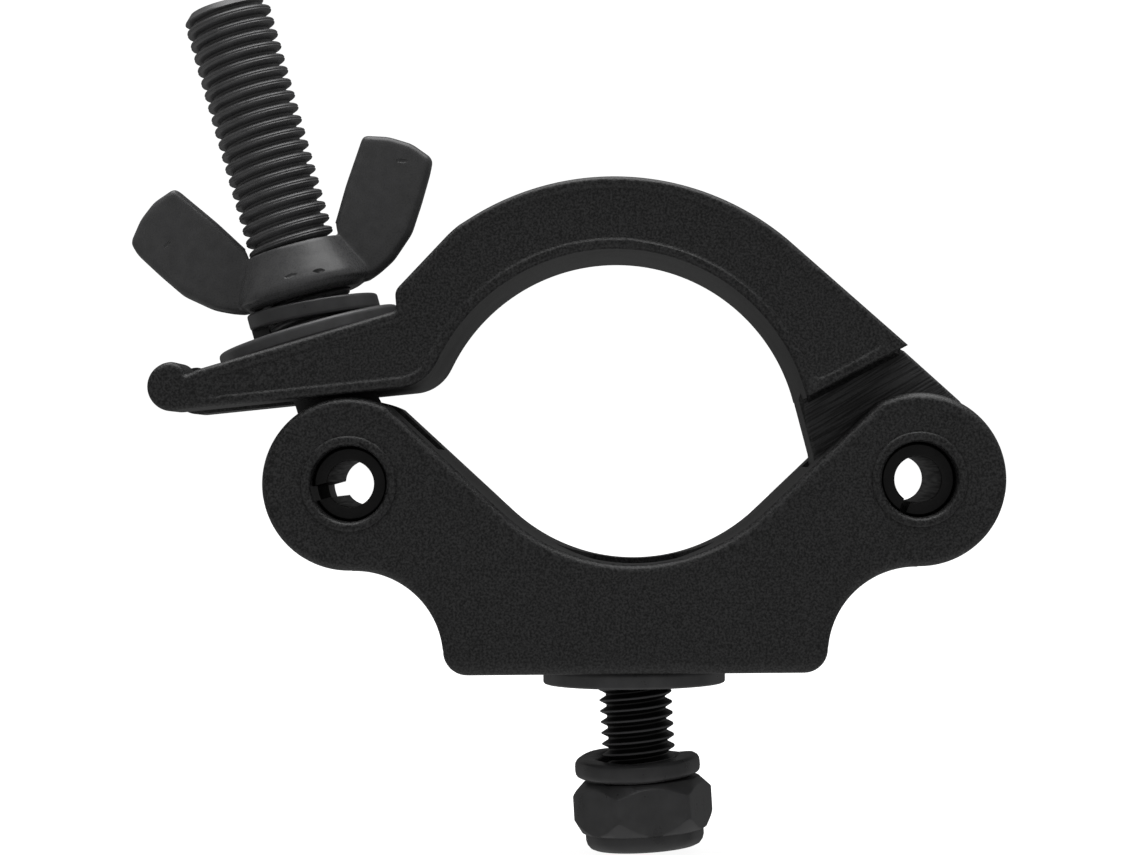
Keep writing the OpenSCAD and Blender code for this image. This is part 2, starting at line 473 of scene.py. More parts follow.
def tongue_marks(tree, where):
    """Fine lines left by milling along the step on the jaw's tongue, and how far they show at a point.
    """
    turned = node(tree, "ShaderNodeMapping", vector_type="TEXTURE")
    turned.inputs["Rotation"].default_value = (0, math.radians(-30), 0)
    tree.links.new(where, turned.inputs["Vector"])
    lines = grain(tree, turned.outputs["Vector"], 0.26, detail=1.5, stretch=(26, 1, 1))
    split = node(tree, "ShaderNodeSeparateXYZ")
    tree.links.new(where, split.inputs["Vector"])
    depth = maths(tree, "ABSOLUTE", split.outputs["Y"])
    inside = spread(tree, depth, (TONGUE_HALF_W + 0.05) * MM, (TONGUE_HALF_W + 0.3) * MM, 1, 0)
    right = spread(tree, split.outputs["X"], STEP_LOW[0] * MM, (STEP_LOW[0] + 0.2) * MM, 0, 1)
    along = (Vector(STEP_HIGH) - Vector(STEP_LOW)).normalized()
    across = Vector((-along.y, 0, along.x))
    level = across.dot(Vector((STEP_LOW[0], 0, STEP_LOW[1] + PIN_Z)))
    beyond = node(tree, "ShaderNodeVectorMath", operation="DOT_PRODUCT")
    beyond.inputs[1].default_value = across
    tree.links.new(where, beyond.inputs[0])
    under = spread(tree, beyond.outputs["Value"], (level - 0.1) * MM, (level + 0.1) * MM, 1, 0)
    return lines, maths(tree, "MULTIPLY", maths(tree, "MULTIPLY", inside, right), under)


def powder_coat():
    """Black fine-textured coat on the two castings."""
    mat, tree, shader, where = new_material("black_powder_coat")
    fine = grain(tree, where, 0.29, detail=2.5, rough=0.6)
    broad = grain(tree, where, 9.0, detail=3.0)
    lines, on_tongue = tongue_marks(tree, where)
    speckle = spread(tree, fine, 0.38, 0.64, 0, 1)
    coat = blend_colour(tree, speckle, (0.003, 0.003, 0.0031), (0.072, 0.072, 0.0730))
    cuts = spread(tree, lines, 0.38, 0.62, 0, 1)
    # The tongue's colour is lighter than the coat's: partly its real machining lines, partly painted
    # light that offsets the shade where the tongue sits deep behind the step.
    milled_with_painted_light = blend_colour(tree, cuts, (0.014, 0.014, 0.0142), (0.110, 0.110, 0.1120))
    tree.links.new(blend_colour(tree, on_tongue, coat, milled_with_painted_light), shader.inputs["Base Color"])
    tree.links.new(spread(tree, broad, 0.3, 0.7, 0.38, 0.46), shader.inputs["Roughness"])
    soft = bump(tree, broad, 0.15, 0.3)
    marked = bump(tree, maths(tree, "MULTIPLY", lines, on_tongue), 0.6, 0.12, soft)
    tree.links.new(bump(tree, fine, 0.7, 0.08, marked), shader.inputs["Normal"])
    shader.inputs["Specular IOR Level"].default_value = 0.7
    return mat


def about_axis(tree, where, place):
    """How far a point lies from the Z axis of place and how high it lies along it, in metres."""
    m = node(tree, "ShaderNodeMapping", vector_type="TEXTURE")
    m.inputs["Location"].default_value = place.to_translation() * MM
    m.inputs["Rotation"].default_value = place.to_euler()
    tree.links.new(where, m.inputs["Vector"])
    flat = node(tree, "ShaderNodeVectorMath", operation="MULTIPLY")
    flat.inputs[1].default_value = (1, 1, 0)
    tree.links.new(m.outputs["Vector"], flat.inputs[0])
    size = node(tree, "ShaderNodeVectorMath", operation="LENGTH")
    tree.links.new(flat.outputs["Vector"], size.inputs[0])
    split = node(tree, "ShaderNodeSeparateXYZ")
    tree.links.new(m.outputs["Vector"], split.inputs["Vector"])
    return size.outputs["Value"], split.outputs["Z"]


def painted_crest_highlight(tree, where):
    """The fixing bolt's thread crests are painted lighter, as a painted highlight: a shade, a
    roughness, and where they show.
    """
    far, _ = about_axis(tree, where, FIXING_AXIS)
    return 0.16, 0.35, spread(tree, far, 4.84 * MM, 4.93 * MM, 0, 1)


def painted_shank_shade(tree, where):
    """The swing bolt is painted near black under the fork, as painted shade, and made duller there: a
    shade, a roughness, and where they show.
    """
    _, high = about_axis(tree, where, SWING_AXIS)
    return 0.004, 0.85, spread(tree, high, 13.0 * MM, 17.0 * MM, 1, 0)


def blackened_steel(name, low, high, gloss, patch=None):
    """Black zinc on the bolts, nuts and washers: satin, with faint rolling marks. patch gives another
    shade and roughness for a part of the piece."""
    mat, tree, shader, where = new_material(name)
    cloud = grain(tree, where, 3.0, detail=4.0, rough=0.6)
    fine = grain(tree, where, 0.25, detail=2.0)
    mottle = spread(tree, cloud, 0.3, 0.7, 0, 1)
    colour = blend_colour(tree, mottle, cold_grey(low), cold_grey(high))
    roughness = spread(tree, cloud, 0.3, 0.7, 0.24, 0.42)
    if patch:
        shade, dull, share = patch(tree, where)
        colour = blend_colour(tree, share, colour, cold_grey(shade))
        kept = maths(tree, "MULTIPLY", roughness, spread(tree, share, 0, 1, 1, 0))
        roughness = maths(tree, "MULTIPLY_ADD", share, dull, kept)
    tree.links.new(colour, shader.inputs["Base Color"])
    tree.links.new(roughness, shader.inputs["Roughness"])
    tree.links.new(bump(tree, fine, 0.15, 0.03), shader.inputs["Normal"])
    shader.inputs["Specular IOR Level"].default_value = gloss
    return mat


def nut_coat():
    """Glossy black coat on the pressed wing nut, with a slight orange peel."""
    mat, tree, shader, where = new_material("wing_nut_coat")
    peel = grain(tree, where, 1.6, detail=2.0)
    dust = grain(tree, where, 0.3, detail=2.0)
    mottle = spread(tree, peel, 0.3, 0.7, 0, 1)
    colour = blend_colour(tree, mottle, (0.108, 0.108, 0.110), (0.138, 0.138, 0.140))
    tree.links.new(colour, shader.inputs["Base Color"])
    tree.links.new(spread(tree, dust, 0.3, 0.7, 0.22, 0.36), shader.inputs["Roughness"])
    tree.links.new(bump(tree, peel, 0.25, 0.12), shader.inputs["Normal"])
    shader.inputs["Specular IOR Level"].default_value = 0.6
    return mat


def spring_steel():
    """Dark steel of the hollow pins, drawn along their length. Its colour is painted darker than the
    other steel, as painted shade where the pin ends sit deep in their holes.
    """
    mat, tree, shader, where = new_material("pin_steel")
    lines = grain(tree, where, 0.3, detail=2.0, stretch=(1, 30, 1))
    cloud = grain(tree, where, 2.5, detail=3.0)
    mottle = spread(tree, cloud, 0.3, 0.7, 0, 1)
    colour = blend_colour(tree, mottle, (0.006, 0.006, 0.006), (0.016, 0.015, 0.015))
    tree.links.new(colour, shader.inputs["Base Color"])
    tree.links.new(spread(tree, lines, 0.3, 0.7, 0.3, 0.5), shader.inputs["Roughness"])
    tree.links.new(bump(tree, lines, 0.2, 0.03), shader.inputs["Normal"])
    return mat


def nylon():
    """Matt black nylon of the lock nut's ring."""
    mat, tree, shader, where = new_material("nylon_insert")
    cloud = grain(tree, where, 1.0, detail=2.0)
    mottle = spread(tree, cloud, 0.3, 0.7, 0, 1)
    colour = blend_colour(tree, mottle, (0.012, 0.012, 0.013), (0.020, 0.020, 0.022))
    tree.links.new(colour, shader.inputs["Base Color"])
    tree.links.new(spread(tree, cloud, 0.3, 0.7, 0.42, 0.56), shader.inputs["Roughness"])
    return mat


COAT = powder_coat()
STEEL = blackened_steel("blackened_steel", 0.078, 0.112, 0.7)
WASHER_STEEL = blackened_steel("washer_steel", 0.110, 0.160, 0.7)
# The swing bolt's steel carries painted shade under the fork.
ZINC_STEEL = blackened_steel("swing_bolt_steel", 0.105, 0.150, 0.8, painted_shank_shade)
# The fixing bolt's steel is painted far darker than the other black steel, as painted shade between the
# washers and the lock nut.
BOLT_STEEL_PAINTED_SHADE = blackened_steel("fixing_bolt_steel", 0.003, 0.006, 0.5, painted_crest_highlight)
NUT_COAT = nut_coat()
PIN_STEEL = spring_steel()
NYLON = nylon()

# The edges of the castings' faces, as (inset, depth): a rounded rim stands round a shallow recess.
# SADDLE_FOOT has the depths for the same insets at the saddle's flanks and foot, which roll off softly
SADDLE_RIM = [
    (0.0, 1.15),
    (0.05, 0.82),
    (0.20, 0.52),
    (0.42, 0.28),
    (0.68, 0.10),
    (0.98, 0.0),
    (1.35, 0.04),
    (1.75, 0.12),
    (2.3, 0.155),
    (2.9, 0.16),
]
SADDLE_FOOT = [1.45, 1.15, 0.92, 0.74, 0.58, 0.44, 0.33, 0.25, 0.185, 0.16]
JAW_RIM = fillet(0.8, 6) + [
    (1.05, 0.01),
    (1.2, 0.05),
    (1.35, 0.14),
    (1.5, 0.21),
    (1.65, 0.25),
    (1.85, 0.25),
]


# ---------------------------------------------------------------- castings


def saddle_outline():
    """The saddle's arc, an ear, the flank's arc and the base's corner, mirrored for the other half."""
    half = (
        arc(0, 0, SADDLE_R, -90, -46, 40)
        + arc(PIN_X, PIN_Z, EAR_R, 117, -91.4, 90)
        + arc(37.15, PIN_Z - 23.2, 11.65, 89, 174, 36)
        + arc(25.5 - 3.2, BASE_Z + 3.2, 3.2, 0, -90, 10)
    )
    return spaced(half + [(-x, z) for x, z in reversed(half)], 1.2)


def on_pin_end(name, profile, x, side, closed=True):
    """A turned tool round a pin hole; its heights are measured from the casting's face."""
    turn = Matrix.Rotation(-side * math.pi / 2, 4, "X")
    place = Matrix.Translation((x, side * HALF_W, PIN_Z)) @ turn
    return piece(name, lathe(profile, 96, closed), place)


def pin_mouth(x, side):
    """The tool that rounds a pin hole's mouth, flared from the hole to the face."""
    r, mouth = PIN_HOLE_R, 0.75
    profile = [(r, -mouth)]
    for k in range(1, 7):
        a = math.pi / 2 * k / 6
        profile.append((r + mouth * (1 - math.cos(a)), -mouth + mouth * math.sin(a)))
    profile.append((r + mouth, 0.5))
    return on_pin_end("mouth", profile, x, side, closed=False)


def pin_moat(x, side):
    """The tool that sinks the face round a pin hole a little, for the lip to stand in."""
    slope = [(6.5, -0.34), (6.8, -0.28), (7.2, -0.14), (7.7, -0.03), (8.2, 0.02)]
    profile = [(4.0, -0.34)] + slope + [(8.2, 0.6), (4.0, 0.6)]
    return on_pin_end("moat", profile, x, side)


def pin_lip(x, side):
    """The narrow rounded lip round a pin hole."""
    round_off = [(5.9, 0.0), (6.1, -0.03), (6.28, -0.12), (6.38, -0.26)]
    profile = [(4.2, -0.9), (4.2, 0.0)] + round_off + [(6.4, -0.9)]
    return on_pin_end("lip", profile, x, side)


def nick(x, z, length, width, turn, depth, y=-HALF_W + 0.15):
    """A shallow dent in the front face, as from the foundry."""
    bm = bmesh.new()
    bmesh.ops.create_icosphere(bm, subdivisions=3, radius=1)
    for v in bm.verts:
        v.co *= 1 + 0.25 * noise.noise(v.co * 1.7 + Vector((x, z, 0)))
    place = (
        Matrix.Translation((x, y, z))
        @ Matrix.Rotation(math.radians(turn), 4, "Y")
        @ Matrix.Diagonal((length / 2, depth, width / 2, 1))
    )
    return piece("nick", bm, place)


def saddle_depth(p, k):
    """The saddle's face has a rim along its top, and rolls off softly at its flanks and foot."""
    top = step_up(p.y, -31, -21)
    return SADDLE_RIM[k][1] * top + SADDLE_FOOT[k] * (1 - top)


def jaw_depth(p, k):
    """The jaw's recess runs out before the hook at the fork's tip."""
    inset, depth = JAW_RIM[k]
    return depth * step_up(p.x, -59, -53) if inset > 1 else depth


def build_body():
    ob = prism("saddle_casting", saddle_outline(), HALF_W, SADDLE_RIM, saddle_depth)
    sides = [(s * PIN_X, f) for s in (-1, 1) for f in (-1, 1)]
    combine(ob, [pin_moat(x, f) for x, f in sides], "DIFFERENCE")
    combine(ob, [pin_lip(x, f) for x, f in sides], "UNION")
    tools = []
    for s, reach in ((-1, SWING_SLOT_R), (1, HINGE_SLOT_R)):
        tools.append(bar("slot", s * PIN_X, reach, SLOT_W / 2, 160))
        tools.append(bar("hole", s * PIN_X, PIN_HOLE_R, HALF_W + 2))
    tools += [pin_mouth(x, f) for x, f in sides]
    pocket_r = POCKET_AF / 2 / math.cos(math.pi / 6)
    tools.append(piece("pocket", lathe([(pocket_r, POCKET_FLOOR), (pocket_r, 0)], 6, closed=False)))
    bore = [(FIXING_BORE_R, BASE_Z - 2), (FIXING_BORE_R, -20)]
    tools.append(piece("bore", lathe(bore, 64, closed=False)))
    tools.append(nick(1.3, -28.0, 0.5, 1.7, 4, 0.13))
    tools.append(nick(-35.6, -9.2, 2.3, 0.5, 40, 0.2))
    tools.append(nick(-34.6, -8.6, 1.0, 0.35, 62, 0.15))
    combine(ob, tools, "DIFFERENCE")
    soften(ob, 0.4)
    return finish_piece(ob, "saddle", COAT, ["body"])


def jaw_outline():
    """The jaw: its inner arc, heel, hooked fork tip, fork face, back and step, over the pins."""
    foot, shoulder, back = (-57.6, 15.3), (-31.45, 25.5), (-23.85, 33.4)
    notch_x = shoulder[0] + 0.2
    notch = (notch_x, foot[1] + (notch_x - foot[0]) * math.tan(math.radians(FACE_SLOPE)))
    lip = arc(-61.15, 14.25, 2.07, 90, 10, 12)
    return (
        arc(-2.45, 4.7, 26.05, 13.7, 154.3, 90)
        + arc(-31.35, 18.6, 6, -25.7, 5.4 - 90, 14)
        + arc(-61, 13.05, 3.27, 5.4 - 90, 95 - 360, 36)
        + lip[:-1]
        + bend(lip[-2], lip[-1], foot, 0.25)
        + bend(lip[-1], foot, notch, 0.6)
        + bend(foot, notch, shoulder, 0.6)
        + bend(notch, shoulder, back, 0.8)
        + bend(shoulder, back, (-21.6, 35.1), 1.2)
        + arc(-2.6, 4.7, 35.7, 122, 48, 60)
        + [STEP_HIGH]
    )


def tongue_outline():
    """The narrow tongue that turns on the hinge pin, over the pins."""
    return (
        [(24.25, 3.47), (22.35, 10.9), (23, 13.2), (34.6, 18.4)]
        + [(36.7, 17.35), (44.2, 10.5)]
        + arc(PIN_X, 0, 11.2, 24, -140, 60)
        + [(24.6, 0.4)]
    )


def raised(points):
    """From heights over the clamp pins to heights over the tube's axis."""
    return [(x, z + PIN_Z) for x, z in points]


def fork_slot():
    """The tool that opens the fork for the swing bolt."""
    outline = [(x + 0.4, y) for x, y in arc(0, 0, SLOT_W / 2, 90, -90, 40)]
    outline = outline + [(-42, -SLOT_W / 2), (-42, SLOT_W / 2)]
    rows = [[(x, y, h) for x, y in outline] for h in (3.0, 42.0)]
    return piece("fork", skin(rows), SWING_AXIS)


def step_fillet():
    """The fillet at the foot of the step, where the tongue leaves the jaw's full width."""
    low, high = Vector(STEP_LOW), Vector(STEP_HIGH)
    along = (high - low).normalized()
    across = Vector((-along.y, along.x))
    low, high = low + along * 0.25, high - along * 0.6
    under, over = across * 0.8, across * 0.9
    strip = [low - under, high - under, high + over, low + over]
    return prism("fillet", raised(strip), 7.4, [(0.0, 1.9), (0.1, 1.3), (0.35, 0.75), (0.8, 0.0)])


def build_arm():
    outline = spaced(anticlockwise(raised(jaw_outline())), 1.2)
    ob = prism("jaw_casting", outline, HALF_W, JAW_RIM, jaw_depth, passes=18, from_x=0)
    tongue = prism(
        "tongue",
        spaced(anticlockwise(raised(tongue_outline())), 1.5),
        TONGUE_HALF_W,
        fillet(0.5, 4) + [(0.6, 0.0), (0.7, 0.0)],
    )
    combine(ob, [tongue, step_fillet()], "UNION")
    tools = [
        bar("hole", PIN_X, TURNING_HOLE_R, HALF_W),
        fork_slot(),
        nick(13.2, 30.2, 2.0, 0.3, 20, 0.15),
        nick(14.6, 22.8, 0.7, 0.7, 0, 0.14),
    ]
    combine(ob, tools, "DIFFERENCE")
    soften(ob, 0.4)
    return finish_piece(ob, "jaw", COAT, ["arm"])


# ---------------------------------------------------------------- pins


def spring_pin(name, x, turn, slit, node_name):
    """A rolled pin with a slit along it and chamfered ends. turn is where its slit faces and slit is
    half the slit's width."""

    def section(outer, inner, y):
        open_out, open_in = math.asin(slit / outer), math.asin(slit / inner)
        n = 60
        pts = []
        for k in range(n + 1):
            a = open_out + (TAU - 2 * open_out) * k / n
            pts.append((outer * math.cos(a), outer * math.sin(a)))
        for k in range(n + 1):
            a = TAU - open_in - (TAU - 2 * open_in) * k / n
            pts.append((inner * math.cos(a), inner * math.sin(a)))
        spin = math.radians(turn)
        c, s = math.cos(spin), math.sin(spin)
        return [(x + px * c - pz * s, y, PIN_Z + px * s + pz * c) for px, pz in pts]

    ends = [(4.62, 3.3, 0), (4.72, 3.17, 0.08), (4.93, 3.11, 0.5), (5.0, 3.1, 0.8)]
    rows = [section(o, i, d - PIN_HALF_LENGTH) for o, i, d in ends]
    rows += [section(o, i, PIN_HALF_LENGTH - d) for o, i, d in reversed(ends)]
    ob = piece(name, skin(rows))
    return finish_piece(ob, "saddle", PIN_STEEL, [node_name])


# ---------------------------------------------------------------- bolts


# Half of each thread's form from crest to root, as (share of the pitch, drop in pitches)
SHARP_THREAD = [(0.045, 0.0), (0.075, 0.03), (0.375, 0.563), (0.44, 0.6134)]
ROLLED_THREAD = [(0.0, 0.045), (0.09, 0.0), (0.19, 0.05), (0.27, 0.17), (0.43, 0.57)]


def threaded_rod(major, pitch, form, low, high, blank, end_r, n=72, runout=1.3):
    """A bolt's threaded length from height low to high, with a real helix. It runs out into a shank of
    radius blank at low and has a chamfered end of radius end_r at high. Both ends are open loops."""
    crest = [(-at, drop) for at, drop in reversed(form)] + form
    wave = [(at, major / 2 - drop * pitch) for at, drop in crest]
    k = len(wave)
    first = -2 * k
    last = (math.ceil((high - low) / pitch) + 1) * k
    bm = bmesh.new()
    grid = []
    for i in range(n):
        turn = i / n
        a = TAU * turn
        column = []
        for j in range(first, last + 1):
            part, r = wave[j % k]
            z = low + (j // k + part + turn) * pitch
            z = min(max(z, low), high)
            fade = min(1, max(0, (z - low) / (runout * pitch)))
            r = blank + (r - blank) * fade
            r = min(r, end_r + (high - z))
            if z <= low:
                r = blank
            if z >= high:
                r = end_r
            column.append(bm.verts.new((r * math.cos(a), r * math.sin(a), z)))
        grid.append(column)
    size = last + 1 - first
    for i in range(n):
        a = grid[i]
        wrap = i == n - 1
        b = grid[0] if wrap else grid[i + 1]
        for j in range(size - 1):
            if not wrap:
                quad = (a[j], b[j], b[j + 1], a[j + 1])
            elif j + 1 + k < size:
                quad = (a[j], b[j + k], b[j + 1 + k], a[j + 1])
            else:
                continue
            bm.faces.new(quad)
    bmesh.ops.remove_doubles(bm, verts=bm.verts, dist=0.0015)
    bmesh.ops.dissolve_degenerate(bm, edges=bm.edges, dist=0.0005)
    return bm


def close_ends(bm, steps_low, steps_high):
    """Carries a rod's two open loops on through (radius, height) steps and closes them."""
    for steps, pick in ((steps_low, min), (steps_high, max)):
        edge = [e for e in bm.edges if e.is_boundary]
        level = pick(v.co.z for e in edge for v in e.verts)
        loop = [e for e in edge if all(abs(v.co.z - level) < 1e-3 for v in e.verts)]
        for r, h in steps:
            made = bmesh.ops.extrude_edge_only(bm, edges=loop)["geom"]
            for v in [g for g in made if isinstance(g, bmesh.types.BMVert)]:
                flat = Vector((v.co.x, v.co.y)).normalized() * r
                v.co = (flat.x, flat.y, h)
            loop = [g for g in made if isinstance(g, bmesh.types.BMEdge)]
        bmesh.ops.edgeloop_fill(bm, edges=loop)
    bmesh.ops.recalc_face_normals(bm, faces=bm.faces)
    return bm


def build_swing_bolt():
    """The M12 eye bolt: threaded rod, eye and neck."""
    tip = 68.0
    rod = threaded_rod(12, 1.75, ROLLED_THREAD, 12.5, tip, 5.45, 4.85)
    close_ends(rod, [(5.4, 10.0), (5.4, 7.0)], [(4.7, tip)])
    shift = Matrix.Translation((-0.15, 0, 0))
    turn = Matrix.Rotation(math.radians(103), 4, "Z")
    ob = piece("swing_bolt_part", rod, SWING_AXIS @ shift @ turn)
    eye_r, eye_half, edge = 10, 6.2, 1.2
    side = [(TURNING_HOLE_R, 0.6 - eye_half), (TURNING_HOLE_R + 0.6, -eye_half)]
    for k in range(6):
        a = math.pi / 2 * k / 5
        side.append((eye_r - edge + edge * math.sin(a), edge * (1 - math.cos(a)) - eye_half))
    eye = side + [(r, -h) for r, h in reversed(side)]
    ring = piece("eye", lathe(eye, 96), along_y(-PIN_X))
    flare = [(6.9, 7.6), (6.3, 8.6), (5.9, 9.8), (5.6, 11.2), (5.4, 12.4)]
    neck = piece("neck", lathe(flare + [(4.0, 12.6), (4.0, 7.6)], 64), SWING_AXIS)
    combine(ring, [neck, ob], "UNION")
    combine(ring, [bar("hole", -PIN_X, TURNING_HOLE_R, HALF_W)], "DIFFERENCE")
    ring.name = "swing_bolt_part"
    return finish_piece(ring, "swing", ZINC_STEEL, ["swing_bolt"], 42)


def hex_rows(af, height, top_r, top_slope, low_r, low_slope, n, blunt=0.12):
    """Rows of a hexagon with chamfered corners, from its top rim down to its lower rim. blunt is how
    softly its faces run into its corners."""
    most = af / 2 / math.cos(math.pi / 6) - blunt
    rows = [[] for _ in range(8)]
    for i in range(n):
        a = TAU * i / n
        off = (a % (math.pi / 3)) - math.pi / 6
        flat = af / 2 / math.cos(off)
        r = -blunt * math.log(math.exp(-flat / blunt) + math.exp(-most / blunt))
        up = height - (r - top_r) * top_slope
        down = (r - low_r) * low_slope
        spots = [
            (top_r - 0.15, height),
            (top_r + 0.05, height - 0.05),
            (r - 0.10, up + 0.10 * top_slope),
            (r - 0.02, up - 0.02),
            (r, up - 0.14),
            (r, down + 0.14),
            (r - 0.03, down + 0.02),
            (low_r, 0.0),
        ]
        for row, (rr, h) in zip(rows, spots):
            row.append((rr * math.cos(a), rr * math.sin(a), h))
    return rows


def build_fixing_bolt():
    """The M10 hex bolt, which hangs head up in the saddle's pocket."""
    seat = POCKET_FLOOR - BASE_Z + 0.45
    length = 28.5
    rod = threaded_rod(10, 1.5, SHARP_THREAD, 0.0, length, 4.9, 3.95, runout=1.5)
    close_ends(rod, [(4.9, -1.4), (4.9, -2.5)], [(3.8, length)])
    upside_down = Matrix.Translation((0, 0, seat - 1.5)) @ Matrix.Rotation(math.pi, 4, "X")
    turn = Matrix.Rotation(math.radians(82), 4, "Z")
    ob = piece("rod", rod, FIXING_AXIS @ upside_down @ turn)
    n = 180
    rows = [circle_row(0.4, 6.05, n), circle_row(5.6, 6.05, n), circle_row(6.1, 6.4, n)]
    rows += hex_rows(17, 6.4, 8.05, 0.58, 8.3, 0.2, n)
    rows += [circle_row(7.6, 0.0, n), circle_row(0.4, 0.0, n)]
    head = piece("fixing_bolt_part", skin(rows), FIXING_AXIS @ Matrix.Translation((0, 0, seat)))
    combine(head, [ob], "UNION")
    return finish_piece(head, "saddle", BOLT_STEEL_PAINTED_SHADE, ["fixing_bolt"], 42)


# ---------------------------------------------------------------- washers


def flat_washer(name, outer, bore, thick, place, body, node_name):
    """A stamped washer: one edge is drawn round, the other keeps a small burr."""
    profile = rounded(
        [(bore / 2, 0), (outer / 2, 0), (outer / 2, thick), (bore / 2, thick)],
        [0.15, 0.4, 0.7, 0.35],
        5,
    )
    ob = piece(name, lathe(profile, 128), place)
    return finish_piece(ob, body, WASHER_STEEL, [node_name])


def split_washer(
    name, outer, bore, thick, start, gap, height, place, body, node_name, softness=0.42
):
    """A spring washer: a square bar wound once. start is the angle of its first end, height gives the
    bar's middle height from the share of the turn that is done and the angle, and softness is how round
    the bar's corners are."""
    r0, r1 = bore / 2, outer / 2
    base = rounded(
        [(r0, -thick / 2), (r1, -thick / 2 + 0.08), (r1, thick / 2 - 0.08), (r0, thick / 2)],
        softness,
        4,
    )
    middle = Vector(((r0 + r1) / 2, 0))
    n = 140
    rows = []
    span = 360 - gap
    shares = [0, 0, 0.003] + [k / n for k in range(1, n)] + [0.997, 1, 1]
    for j, share in enumerate(shares):
        edge = j in (0, len(shares) - 1)
        a = math.radians(start + span * share)
        z = height(share, a)
        row = []
        for p in base:
            q = Vector(p)
            if edge:
                q = middle + (q - middle) * 0.8
            elif j in (1, len(shares) - 2):
                q = middle + (q - middle) * 0.97
            row.append((q.x * math.cos(a), q.x * math.sin(a), q.y + z))
        rows.append(row)
    ob = piece(name, skin(rows), place)
    return finish_piece(ob, body, STEEL, [node_name], 50)


def eased(stops):
    """A smooth curve through (position, value) stops."""

    def value(at):
        for (p, v), (q, w) in zip(stops, stops[1:]):
            if at <= q:
                t = min(1, max(0, (at - p) / (q - p)))
                return v + (w - v) * t * t * (3 - 2 * t)
        return stops[-1][1]

    return value


def build_washers():
    """The two flat washers and the two spring washers."""
    tilt = Matrix.Rotation(SWING_LEAN - math.radians(FACE_SLOPE), 4, "Y")
    drop = eased([(0, 0), (0.5, 1.6), (1, 1.7)])
    place = SWING_AXIS @ Matrix.Translation((0, 0, 20.24)) @ tilt @ Matrix.Translation((-1.1, 0, 0))
    flat_washer("fork_washer", 25.4, 14.4, 2.0, place, "fork_washers", "fork_flat_washer")
    split_washer(
        "fork_spring",
        18.0,
        13.2,
        2.3,
        184,
        5,
        lambda share, a: NUT_SEAT - 1.18 - drop(share),
        SWING_AXIS @ Matrix.Translation((0.3, 0, 0)),
        "fork_washers",
        "fork_spring_washer",
    )
    rise = eased([(30, 0.1), (130, 1.1), (185, 0.5), (270, 0.0), (355, 0.35), (380, 0.45)])
    place = Matrix.Translation((-0.2, 0, BASE_Z - 2.2))
    flat_washer("base_washer", 25.0, 11.0, 2.2, place, "saddle", "base_flat_washer")
    split_washer(
        "base_spring",
        17.2,
        10.8,
        2.7,
        30,
        10,
        lambda share, a: 1.36 - NUT_GAP + rise(math.degrees(a)),
        FIXING_AXIS @ Matrix.Translation((-0.3, 0, 0)),
        "lock_washer",
        "base_spring_washer",
        softness=0.95,
    )


# ---------------------------------------------------------------- nuts


def build_wing_nut():
    """The pressed wing nut, whose boss and wings run into each other."""
    boss = [
        (4.0, 0.0),
        (7.4, 0.0),
        (8.6, 0.5),
        (9.3, 1.2),
        (9.2, 2.0),
        (8.6, 3.3),
        (7.75, 5.0),
        (7.1, 6.4),
        (6.8, 7.05),
        (6.5, 7.3),
        (4.0, 7.3),
    ]
    ob = piece("wing_nut_part", lathe(boss, 96))
    wing = [
        (4, 0.8),
        (8.7, 0.1),
        (10.6, 0.8),
        (12.8, 1.9),
        (16.2, 4.8),
        (18.6, 8.4),
        (20.8, 12),
        (21.3, 13.9),
        (19.1, 16.6),
        (16.7, 18.4),
        (13.4, 19.5),
        (9.25, 13.5),
        (6.25, 8.6),
        (4, 6.6),
    ]
    wings = []
    for side in (-1, 1):
        corner = 0.45 if side > 0 else 0
        bent = [(side * (u + corner if u > 18 and h > 13 else u), h) for u, h in wing]
        outline = spaced(rounded(bent, 0.7, 3), 1.0)
        wings.append(prism("wing", outline, WING_HALF_T, fillet(1.0, 4) + [(1.2, 0.0)]))
    combine(ob, wings, "UNION")
    m = ob.modifiers.new("remesh", "REMESH")
    m.mode = "VOXEL"
    m.voxel_size = 0.24
    m = ob.modifiers.new("smooth", "SMOOTH")
    m.factor = 0.5
    m.iterations = 4
    settle(ob)
    bore = lathe([(6.05, -1), (6.05, 6.4), (6.75, 7.4), (6.75, 9)], 96, closed=False)
    dents = [
        nick(-0.6, 2.9, 2.3, 0.7, -4, 0.45, y=-9.0),
        nick(3.5, 2.5, 2.3, 0.7, 4, 0.45, y=-8.4),
        nick(17.6, 14.6, 1.7, 0.6, 20, 0.14, y=-WING_HALF_T),
        nick(-16.4, 12.2, 1.3, 0.5, -30, 0.12, y=-WING_HALF_T),
    ]
    combine(ob, [piece("bore", bore)] + dents, "DIFFERENCE")
    ob.data.transform(SWING_AXIS @ Matrix.Translation((0, 0, NUT_SEAT)))
    return finish_piece(ob, "wing", NUT_COAT, ["wing_nut"], 50)


